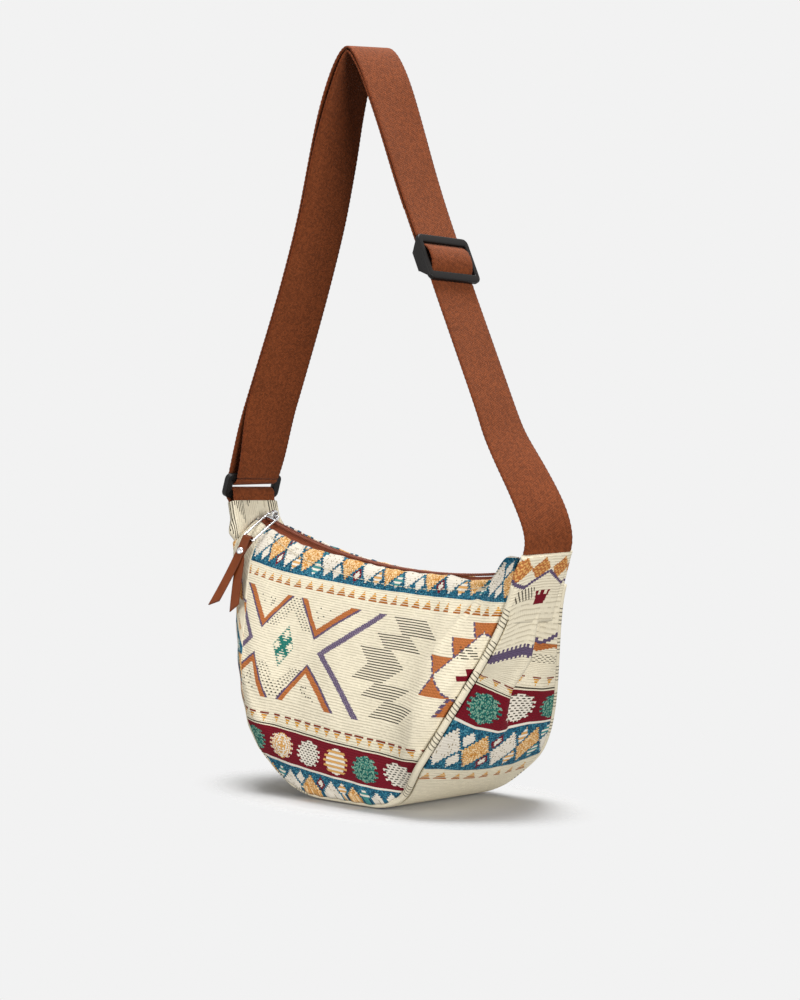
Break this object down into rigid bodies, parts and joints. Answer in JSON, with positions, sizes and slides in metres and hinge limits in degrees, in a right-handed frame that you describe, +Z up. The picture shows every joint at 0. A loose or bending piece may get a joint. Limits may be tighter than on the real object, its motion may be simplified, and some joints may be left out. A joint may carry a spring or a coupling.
{
  "type": "belt bag",
  "caption": "Soft half-moon belt bag of woven jacquard with a curved top zip, piped seams, leather zip pull and an adjustable webbing strap.",
  "frame": {"origin": "on the surface that the bag stands on, under the middle of its base", "axes": "+X along the bag to its right end, -Y out of its front, +Z up along the strap"},
  "size_m": [0.283, 0.1204, 0.4947],
  "materials": {
    "jacquard": "ribbed woven jacquard, cream ground",
    "piping": "cord covered in the same cloth",
    "lining": "plain woven",
    "zip_tape": "fine woven tape",
    "zip_coil": "satin nylon coil",
    "zip_metal": "polished nickel",
    "leather": "smooth, raw edges",
    "webbing": "fine ribbed webbing",
    "plastic": "satin black"
  },
  "bodies": {
    "bag": {"front_panel": "jacquard", "back_panel": "jacquard", "gusset": "jacquard", "zip_end_left": "jacquard", "front_piping": "piping", "back_piping": "piping", "lining": "lining", "zip_end_right": "zip_tape", "zip_tape_front": "zip_tape", "zip_tape_back": "zip_tape", "zip_coil_front": "zip_coil", "zip_coil_back": "zip_coil", "zip_stop_left": "zip_metal", "zip_stop_right": "zip_metal", "strap": "webbing", "strap_return": "webbing", "ring_loop": "webbing", "strap_ring": "plastic"},
    "zip_slider": {"zip_slider": "zip_metal"},
    "pull_frame": {"pull_frame": "zip_metal"},
    "leather_pull": {"leather_pull": "leather", "pull_rivet": "zip_metal"},
    "strap_adjuster": {"strap_adjuster": "plastic"}
  },
  "joints": [
    {"name": "zip_run", "type": "hinge", "parent": "bag", "child": "zip_slider", "pos_m": [0.06, 0, 0.63], "axis": [0, -1, 0], "range_deg": [0, 24.6]},
    {"name": "pull_swing", "type": "hinge", "parent": "zip_slider", "child": "pull_frame", "pos_m": [-0.11262, 0, 0.18265], "axis": [-0.933, 0, 0.36], "range_deg": [0, 240]},
    {"name": "leather_swing", "type": "hinge", "parent": "pull_frame", "child": "leather_pull", "pos_m": [-0.11367, -0.02315, 0.16623], "axis": [-0.9539, -0.1437, 0.2636], "range_deg": [0, 66]},
    {"name": "strap_length", "type": "slide", "parent": "bag", "child": "strap_adjuster", "axis": [0.4164, 0, -0.9092], "range_m": [-0.01, 0.09], "deforming": ["strap_return"]}
  ]
}
